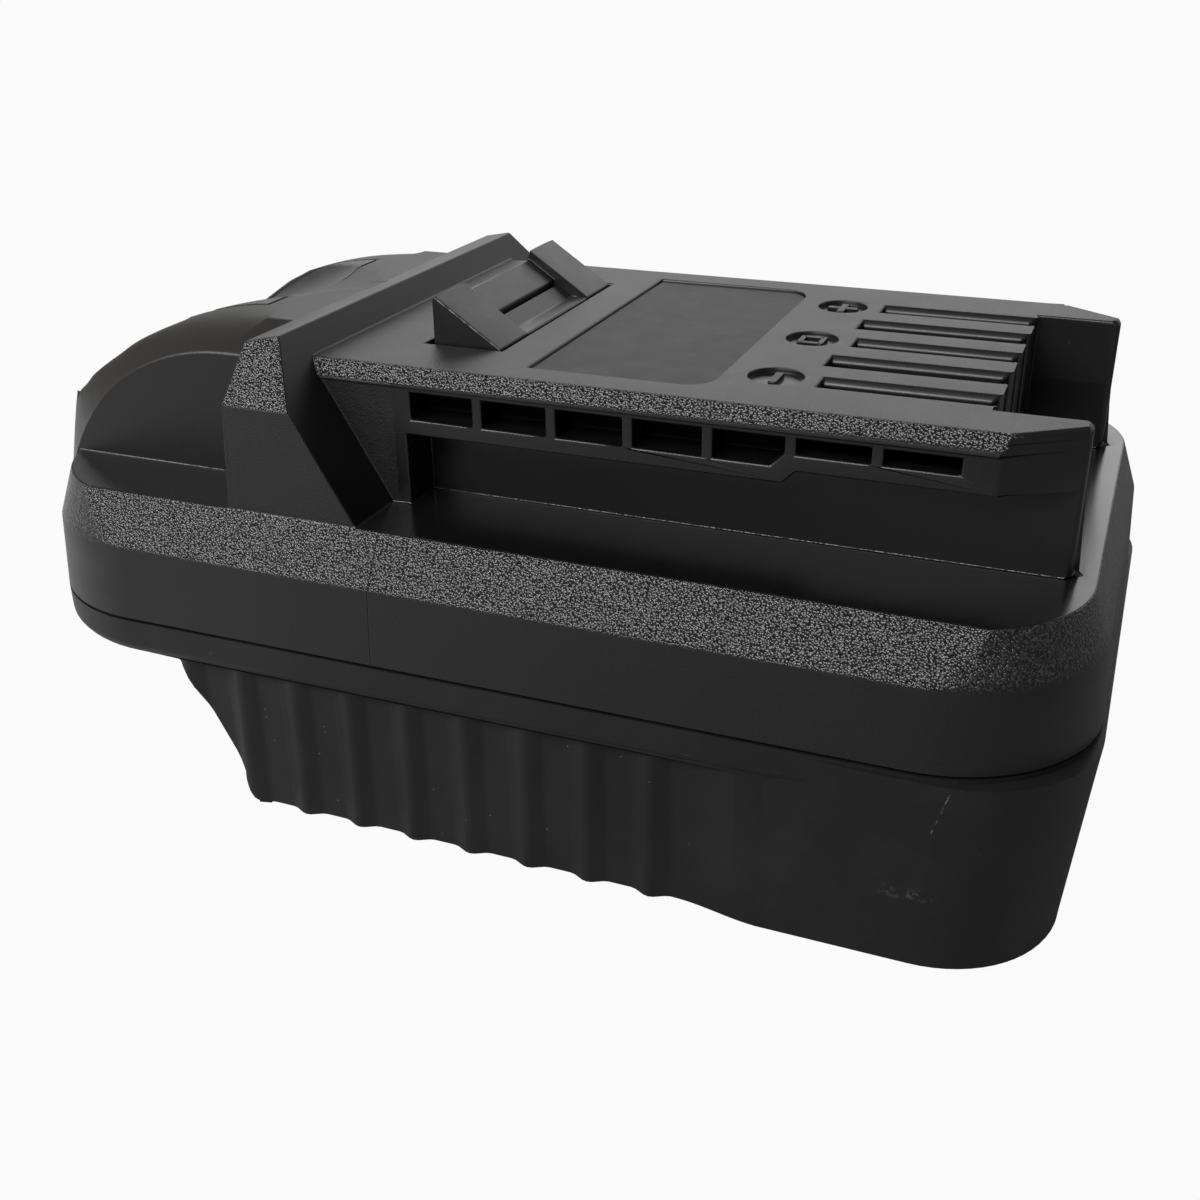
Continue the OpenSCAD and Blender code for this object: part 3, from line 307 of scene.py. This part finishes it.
def paintPlain(name, s):
    f = Finish(name, {"Specular IOR Level": s.get("shine", 0.5)})
    cloud = f.point.noise(0.3, 3.0, 0.6)
    fine = f.point.noise(s["size"], 3.0, 0.6)
    colour = cloud.step(0.35, 0.7).mix(s["colour"], s["pale"])
    if "paleEdge" in s:  # a pale, broken line along one slanted edge
        x, y, z = f.point.axes()
        (x0, z0), (x1, z1) = s["paleEdge"]["from"], s["paleEdge"]["to"]
        off = z - z0 - (x - x0) * ((z1 - z0) / (x1 - x0))
        edge = (1 - abs(off).step(0.1, 0.24)) * (1 - abs(y - s["paleEdge"]["y"]).step(0.05, 0.14))
        colour = (edge * f.point.noise(1.5, 3.0, 0.7).step(0.4, 0.55)).mix(colour, s["paleEdge"]["pale"])
    f.feed("Base Color", colour)
    f.feed("Roughness", s["rough"] + (cloud - 0.5) * 0.15 + (fine - 0.5) * 0.08)
    f.relief(fine * s["depth"])
    return f.paint(*s["nodes"])


plain = {name: paintPlain(name, s) for name, s in plainFinishes.items()}

metalFinishes = {
    "contactBrass": {"nodes": ["negative_contact", "signal_contact", "positive_contact"],
                     "colour": (0.72, 0.58, 0.32, 1), "dull": (0.45, 0.34, 0.18, 1), "rough": 0.3,
                     "draw": (0.4, 8.0, 8.0)},
    "bladeTinned": {"nodes": ["negative_blade", "positive_blade", "signal_pins"],
                    "colour": (0.8, 0.72, 0.52, 1), "dull": (0.55, 0.48, 0.33, 1), "rough": 0.26,
                    "draw": (0.4, 8.0, 8.0)},
    "screwSteel": {"nodes": ["case_screws", "terminal_screws", "board_screws"],
                   "colour": (0.5, 0.51, 0.53, 1), "dull": (0.3, 0.3, 0.31, 1), "rough": 0.32,
                   "draw": (3.0, 3.0, 3.0)},
    "springSteel": {"nodes": [], "colour": (0.58, 0.59, 0.6, 1), "dull": (0.35, 0.35, 0.36, 1),
                    "rough": 0.24, "draw": (4.0, 4.0, 1.0)},
}


def paintMetal(name, s):
    f = Finish(name, {"Metallic": 1.0})
    lines = f.point.stretched(s["draw"]).noise(1.0, 3.0, 0.6)
    stain = f.point.noise(0.4, 4.0, 0.6)
    f.feed("Base Color", stain.step(0.45, 0.75).mix(s["colour"], s["dull"]))
    f.feed("Roughness", s["rough"] + (lines - 0.5) * 0.25 + stain.step(0.5, 0.8) * 0.15)
    f.relief(lines * 0.006)
    return f.paint(*s["nodes"])


metal = {name: paintMetal(name, s) for name, s in metalFinishes.items()}
print("finishes ready")

# the big mouldings are copied with rounds on their edges, and stand for their solids
mouldings = {
    "upperMoulding": {
        "node": "upper_shell", "body": "housing", "slot": "upper_black", "round": 0.22,
        "soft": [((55.9, -26, 35), (56.3, 26, 51), 0.5),  # the rail's tips
                 ((48.5, -26, 50), (56.3, 26, 51), 0.5)],
        "plainly": ((-70, -30, 31), (-27.8, 30, 60)),  # the hump is smooth but for its strong edges
        "melt": [{"box": ((-63, -25, 36.3), (-27.9, 25, 54)), "pin": ((-56.5, -13, 30), (-34.5, 13, 60)),
                  "angle": 180, "walls": 0.85, "grid": 0.9, "times": 40}],
        "crisp": [((-70, -50, 20), (70, 50, 23))],
        "hollows": [((-12, 20.9, 43.7), (48, 24.9, 50.1)), ((-12, -24.9, 43.7), (48, -20.9, 50.1)),
                    ((29, -17.5, 36), (47, 17.5, 49.2)), ((-70, -50, 20), (70, 50, 22.3))]},
    "lowerMoulding": {
        "node": "lower_shell", "body": "housing", "slot": "lower_black", "round": 0.35,
        "soft": [], "plainly": ((0, 0, 0), (0, 0, 0)), "hollows": [],
        "melt": [{"box": ((22.5, side[0], 0.6), (62, side[1], 21)), "pin": ((0, 0, 0), (0, 0, 0)),
                  "angle": 35, "walls": 2, "grid": 1.6, "times": 30}
                 for side in ((-40, -33.5), (33.5, 40))],
        "crisp": [((22, -50, 15), (70, 50, 23)), ((-70, -50, 21.3), (70, 50, 23))]},
    "latchMoulding": {
        "node": "release_latch", "body": "latch", "slot": "latch_black", "round": 0.2,
        "soft": [((-12.5, -16, 55.4), (-12.15, 16, 55.8), 0.34)],  # hook tops
        "plainly": ((-70, -30, 36.2), (-27.8, 30, 60)), "hollows": [],
        "melt": [{"box": ((-13, side[0], 52.6), (-9.0, side[1], 56)), "pin": ((0, 0, 0), (0, 0, 0)),
                  "angle": 180, "walls": 2, "grid": 0.3, "times": 24}
                 for side in ((-16, -8.4), (8.4, 16))],
        "crisp": []},
}
crease = {"least": 24, "strong": 55, "sharp": 40, "weld": 0.002, "short": 0.15}


def inBox(spot, low, high):
    return all(low[i] <= spot[i] <= high[i] for i in range(3))


def flatRegions(work):
    # faces that lie in one plane share a number
    region = {}
    for start in work.faces:
        if start in region:
            continue
        label = len(region)
        todo = [start]
        region[start] = label
        while todo:
            face = todo.pop()
            for edge in face.edges:
                for other in edge.link_faces:
                    if other not in region and other.normal.angle(start.normal, 9) < math.radians(0.6):
                        region[other] = label
                        todo.append(other)
    return region


def roomBeside(edge, region, members):
    # the narrower of the two flat faces at an edge, measured square to it
    a, b = (v.co for v in edge.verts)
    along = (b - a).normalized()
    widths = []
    for face in edge.link_faces:
        points = members[region[face]]
        widths.append(max((q - a - along * (q - a).dot(along)).length for q in points))
    return min(widths)


def roundEdges(work, edges, radius, steps):
    bmesh.ops.bevel(work, geom=edges, offset=radius * mm, offset_type="OFFSET", affect="EDGES",
                    segments=steps, profile=0.5, clamp_overlap=False)


def melt(work, s):
    # faces in a box are cut small and relaxed, so that creases in it run out smoothly
    low, high = s["box"]

    def inside():
        return [f for f in work.faces if abs(f.normal.y) < s["walls"]
                and all(inBox(v.co / mm, low, high) for v in f.verts)]

    for turn in range(7):
        long = {e for f in inside() for e in f.edges if e.calc_length() > s["grid"] * mm}
        if not long:
            break
        bmesh.ops.subdivide_edges(work, edges=[e for e in work.edges if e in long], cuts=1)
        bmesh.ops.triangulate(work, faces=[f for f in work.faces if len(f.verts) > 3])
        work.normal_update()
    chosen = set(inside())
    loose = []
    for vert in sorted({v for f in chosen for v in f.verts}, key=lambda v: v.index):
        pinned = inBox(vert.co / mm, *s["pin"]) and any(
            e.calc_face_angle(0) > math.radians(60) for e in vert.link_edges)
        hard = any(e.calc_face_angle(0) > math.radians(s["angle"]) for e in vert.link_edges)
        if all(f in chosen for f in vert.link_faces) and not pinned and not hard:
            loose.append(vert)
    work.verts.index_update()
    for turn in range(s["times"]):
        spots = [sum((e.other_vert(v).co for e in v.link_edges), Vector()) / len(v.link_edges)
                 for v in loose]
        for vert, spot in zip(loose, spots):
            vert.co = vert.co.lerp(spot, 0.6)


def easedCopy(name, s):
    source = nodes[s["node"]]
    work = bmesh.new()
    work.from_mesh(source.data)
    top = max(v.co.z for v in work.verts)
    bmesh.ops.remove_doubles(work, verts=work.verts, dist=crease["weld"] * mm)
    for low, high, radius in s["soft"]:
        roundEdges(work, [e for e in work.edges if e.calc_face_angle(0) > math.radians(30)
                          and all(inBox(v.co / mm, low, high) for v in e.verts)], radius, 4)
    for part in s["melt"]:
        melt(work, part)
    region = flatRegions(work)
    members = {}
    for face, label in region.items():
        members.setdefault(label, []).extend(v.co.copy() for v in face.verts)
    corners = []
    for edge in work.edges:
        least = crease["strong"] if inBox(edge.verts[0].co / mm, *s["plainly"]) else crease["least"]
        if any(all(inBox(v.co / mm, *box) for v in edge.verts) for box in s["crisp"]):
            continue
        if edge.calc_face_angle(0) > math.radians(least) and edge.calc_length() > crease["short"] * mm:
            if roomBeside(edge, region, members) > 2.1 * s["round"] * mm:
                corners.append(edge)
    roundEdges(work, corners, s["round"], 2)
    for vert in work.verts:
        vert.co.z = min(vert.co.z, top)
    for face in work.faces:
        face.smooth = True
    for edge in work.edges:
        edge.smooth = edge.calc_face_angle(0) < math.radians(crease["sharp"])
    mesh = bpy.data.meshes.new(name)
    work.to_mesh(mesh)
    work.free()
    if "custom_normal" in mesh.attributes:
        mesh.attributes.remove(mesh.attributes["custom_normal"])
    mesh.materials.clear()
    mesh.materials.append(source.data.materials[0])
    mesh.materials.append(hollowPaintedShade)
    # faces inside the hollows boxes take the second slot, the painted shade
    for face in mesh.polygons:
        face.material_index = int(any(inBox(face.center / mm, *box) for box in s["hollows"]))
    piece = bpy.data.objects.new(name, mesh)
    scene.collection.objects.link(piece)
    even = piece.modifiers.new("even", "WEIGHTED_NORMAL")
    even.keep_sharp = True
    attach(piece, s["body"])
    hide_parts(s["node"])


for name, s in mouldings.items():
    easedCopy(name, s)
print("edges eased on", len(mouldings), "mouldings")


def meshPiece(name, build, material, bodyName):
    mesh = bpy.data.meshes.new(name)
    work = bmesh.new()
    build(work)
    bmesh.ops.recalc_face_normals(work, faces=work.faces)
    work.to_mesh(mesh)
    work.free()
    mesh.materials.append(material)
    piece = bpy.data.objects.new(name, mesh)
    scene.collection.objects.link(piece)
    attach(piece, bodyName)
    return piece


def prism(work, outline, low, high, ease):
    # an upright block on a plan outline, its upper edge eased inwards
    middle = sum((Vector(q) for q in outline), Vector((0, 0))) / len(outline)
    rings = []
    for level, inset in ((low, 0), (high - ease, 0), (high - ease * 0.3, ease * 0.3), (high, ease)):
        ring = []
        for q in outline:
            d = Vector(q) - middle
            d = d - d.normalized() * inset
            ring.append(work.verts.new((middle.x + d.x, middle.y + d.y, level)))
        rings.append(ring)
    count = len(outline)
    for a, b in zip(rings, rings[1:]):
        for i in range(count):
            work.faces.new((a[i], a[(i + 1) % count], b[(i + 1) % count], b[i]))
    work.faces.new(rings[-1])
    work.faces.new(rings[0][::-1])


def roundedBox(x0, x1, y0, y1, r, n=4):
    outline = []
    for cx, cy, a0 in ((x1 - r, y1 - r, 0), (x0 + r, y1 - r, 90),
                       (x0 + r, y0 + r, 180), (x1 - r, y0 + r, 270)):
        for i in range(n + 1):
            a = math.radians(a0 + 90 * i / n)
            outline.append((cx + r * math.cos(a), cy + r * math.sin(a)))
    return outline


# raised polarity signs in the three discs
signs = {"x": 25.45, "span": 14.7, "floor": 50.05, "high": 50.52, "long": 1.75, "thick": 0.42, "ease": 0.12}


def minusSign(work, s, y):
    prism(work, [(q[0] * mm, q[1] * mm) for q in roundedBox(
        s["x"] - s["thick"], s["x"] + s["thick"], y - s["long"], y + s["long"], 0.2)],
        (s["floor"] - 0.02) * mm, s["high"] * mm, s["ease"] * mm)


def plusSign(work, s, y):
    t, l = s["thick"], s["long"]
    cross = [(t, l), (-t, l), (-t, t), (-l, t), (-l, -t), (-t, -t),
             (-t, -l), (t, -l), (t, -t), (l, -t), (l, t), (t, t)]
    prism(work, [((s["x"] + a) * mm, (y + b) * mm) for a, b in cross],
          (s["floor"] - 0.02) * mm, s["high"] * mm, s["ease"] * mm)


def squareSign(work, s, y):
    t, l = s["thick"] * 1.5, s["long"] * 0.82
    for dx in (l - t / 2, t / 2 - l):
        prism(work, [(q[0] * mm, q[1] * mm) for q in roundedBox(
            s["x"] + dx - t / 2, s["x"] + dx + t / 2, y - l, y + l, 0.25)],
            (s["floor"] - 0.02) * mm, s["high"] * mm, s["ease"] * mm)
    for dy in (l - t / 2, t / 2 - l):
        prism(work, [(q[0] * mm, q[1] * mm) for q in roundedBox(
            s["x"] - l + t / 2, s["x"] + l - t / 2, y + dy - t / 2, y + dy + t / 2, 0.1)],
            (s["floor"] - 0.02) * mm, s["high"] * mm, s["ease"] * mm)


signBlack = paintPlain("signBlack", {"nodes": [], "colour": grey(0.005), "pale": grey(0.008), "rough": 0.4,
                                     "size": 5.0, "depth": 0.01, "shine": 0.25})
for name, draw, y in (("minusSign", minusSign, -signs["span"]), ("squareSign", squareSign, 0.0),
                      ("plusSign", plusSign, signs["span"])):
    meshPiece(name, lambda work, draw=draw, y=y: draw(work, signs, y), signBlack, "housing")
print("polarity signs made")

# the latch's bridge between its hooks runs on down below the slot
bridge = {"x": (-8.3, -6.4, -4.45), "z": (49.6, 51.93, 50.62), "half": 8.55, "ease": 0.15}


def bridgeWedge(work, s):
    e = s["ease"]
    profile = [(s["x"][0], s["z"][0]), (s["x"][0], s["z"][1] - e), (s["x"][0] + e, s["z"][1]),
               (s["x"][1] - e, s["z"][2] + e * 0.66), (s["x"][1] + e, s["z"][2]), (s["x"][2] - e, s["z"][2]),
               (s["x"][2], s["z"][2] - e), (s["x"][2], s["z"][0])]
    rings = [[work.verts.new((a * mm, y * mm, b * mm)) for a, b in profile] for y in (-s["half"], s["half"])]
    count = len(profile)
    for i in range(count):
        j = (i + 1) % count
        work.faces.new((rings[0][i], rings[0][j], rings[1][j], rings[1][i]))
    work.faces.new(rings[0])
    work.faces.new(rings[1][::-1])


meshPiece("latchBridge", lambda work: bridgeWedge(work, bridge), plain["latchBlack"], "latch")

# return springs of round wire, wound with closed ends
springs = {"x": -27.7, "y": 12.15, "foot": 28.36, "top": 43.78, "wire": 0.7, "across": 6.0, "turns": 7,
           "seat": 28.24, "keep": 0.655, "steps": 28, "ring": 12}


def coil(work, s, y):
    r = (s["across"] - s["wire"]) / 2
    low, high = s["foot"] + s["wire"] / 2, s["top"] - s["wire"] / 2
    count = s["turns"] * s["steps"]
    rings = []
    for i in range(count + 1):
        t = i / count
        a = math.radians(360 * s["turns"] * t)
        rise = min(max((t * s["turns"] - 0.6) / (s["turns"] - 1.2), 0), 1)
        rise = 0.12 * t + 0.88 * rise
        middle = Vector((s["x"] + r * math.cos(a), y + r * math.sin(a), low + (high - low) * rise))
        outward = Vector((math.cos(a), math.sin(a), 0))
        ring = []
        for k in range(s["ring"]):
            b = 2 * math.pi * k / s["ring"]
            ring.append(work.verts.new((middle + s["wire"] / 2 * (
                math.cos(b) * outward + math.sin(b) * Vector((0, 0, 1)))) * mm))
        rings.append(ring)
    for a, b in zip(rings, rings[1:]):
        for k in range(s["ring"]):
            j = (k + 1) % s["ring"]
            work.faces.new((a[k], a[j], b[j], b[k]))
    work.faces.new(rings[0])
    work.faces.new(rings[-1][::-1])


for name, y in (("latch_spring_left", springs["y"]), ("latch_spring_right", -springs["y"])):
    piece = meshPiece(name.replace("latch_spring", "springCoil"), lambda work, y=y: coil(work, springs, y),
                      metal["springSteel"], "housing")
    for face in piece.data.polygons:
        face.use_smooth = True
    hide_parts(name)
    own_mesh(piece)
print("springs wound")

# studio: a white floor, a room that is white low down and dim overhead, and soft boxes
studio = {
    "floorSize": 3.0, "floorLevel": -0.0001, "floorColour": grey(0.25), "whiteShare": 0.95,
    "glossShare": (0.8, 0.0), "fade": (-0.16, 0.06), "front": (-0.15, -0.075), "frontShare": 0.4,
    "backdrop": 0.6, "room": 0.15, "low": (0.35, 0.62), "behind": (0.05, 0.45), "leftEnd": (-0.85, -0.5),
    "lamps": {
        "keyBox": {"toward": (-0.36, -0.68, 0.66), "away": 0.75, "size": (0.85, 0.26), "level": 9.5},
        "backBox": {"toward": (-0.25, 0.87, 0.48), "away": 0.9, "size": (0.9, 0.4), "level": 1.15},
    },
}


def buildStage(s):
    floorMesh = bpy.data.meshes.new("floor")
    half = s["floorSize"]
    corners = ((-half, -half), (half, -half), (half, half), (-half, half))
    floorMesh.from_pydata([(x, y, s["floorLevel"]) for x, y in corners], [], [(0, 1, 2, 3)])
    floor = bpy.data.objects.new("floor", floorMesh)
    scene.collection.objects.link(floor)
    material = bpy.data.materials.new("floorWhite")
    material.use_nodes = True
    tree = material.node_tree
    tree.nodes.remove(tree.nodes["Principled BSDF"])
    start = Socket(tree)
    seen = start.add("LightPath", {}, {}, "Is Camera Ray")
    gloss = start.add("LightPath", {}, {}, "Is Glossy Ray")
    through = start.add("LightPath", {}, {}, "Is Transmission Ray")
    across, deep, up = start.add("TexCoord", {}, {}, "Object").axes()
    # painted shade on the floor, seen only in reflections: its white glow share falls off to the right and
    # the front
    left, right = s["glossShare"]
    fade = left + across.step(*s["fade"]) * (right - left)  # painted light: in reflections the floor glows white, fading out to the right and towards the front
    fade = fade * (s["frontShare"] + deep.step(*s["front"]) * (1 - s["frontShare"]))
    share = (seen * s["whiteShare"]).most((gloss + through).least(1.0) * fade)
    matt = start.add("BsdfDiffuse", {}, {"Color": s["floorColour"]})
    white = start.add("Emission", {}, {"Color": (1, 1, 1, 1), "Strength": 1.0})
    both = start.add("MixShader", {}, {0: share, 1: matt, 2: white})
    tree.links.new(both.output, tree.nodes["Material Output"].inputs["Surface"])
    floorMesh.materials.append(material)
    world = bpy.data.worlds.new("paleRoom")
    scene.world = world
    world.use_nodes = True
    start = Socket(world.node_tree)
    seen = start.add("LightPath", {}, {}, "Is Camera Ray")
    through = start.add("LightPath", {}, {}, "Is Transmission Ray")
    ahead = start.add("TexCoord", {}, {}, "Generated").axes()
    sweep = (1 - ahead[2].step(*s["low"])) * ahead[1].step(*s["behind"])  # a white sheet curving up behind
    sweep = sweep * ahead[0].step(*s["leftEnd"])
    room = s["room"] + sweep * (s["backdrop"] - s["room"])
    background = world.node_tree.nodes["Background"]
    background.inputs["Color"].default_value = (1, 1, 1, 1)
    world.node_tree.links.new(room.most(seen).most(through).output, background.inputs["Strength"])
    for name, lamp in s["lamps"].items():
        light = bpy.data.lights.new(name, "AREA")
        light.shape = "RECTANGLE"
        light.size, light.size_y = lamp["size"]
        light.energy = lamp["level"] * 4 * lamp["size"][0] * lamp["size"][1]  # radiance to watts
        thing = bpy.data.objects.new(name, light)
        toward = Vector(lamp["toward"]).normalized()
        thing.location = Vector((0, 0, 0.03)) + toward * lamp["away"]
        thing.rotation_euler = toward.to_track_quat("Z", "Y").to_euler()
        scene.collection.objects.link(thing)


buildStage(studio)
scene.view_settings.view_transform = "Standard"
print("stage lit")

camera = {"place": (59.579, -146.144, 91.648), "turn": 22.06, "tilt": 25.99, "roll": -0.55, "lens": 41.916}


def placeCamera(s):
    turn, tilt, roll = (math.radians(s[k]) for k in ("turn", "tilt", "roll"))
    back = Vector((math.sin(turn) * math.cos(tilt), -math.cos(turn) * math.cos(tilt), math.sin(tilt)))
    right = (-back).cross(Vector((0, 0, 1))).normalized()
    up = right.cross(-back)
    across = math.cos(roll) * right + math.sin(roll) * up
    upward = -math.sin(roll) * right + math.cos(roll) * up
    data = bpy.data.cameras.new("photoCamera")
    data.sensor_width = 36
    data.lens = s["lens"]
    data.clip_start = 0.005
    data.clip_end = 20
    thing = bpy.data.objects.new("photoCamera", data)
    scene.collection.objects.link(thing)
    thing.matrix_world = Matrix.Translation(Vector(s["place"]) * mm) @ Matrix(
        (across, upward, back)).transposed().to_4x4()
    scene.camera = thing


placeCamera(camera)
print("camera placed")
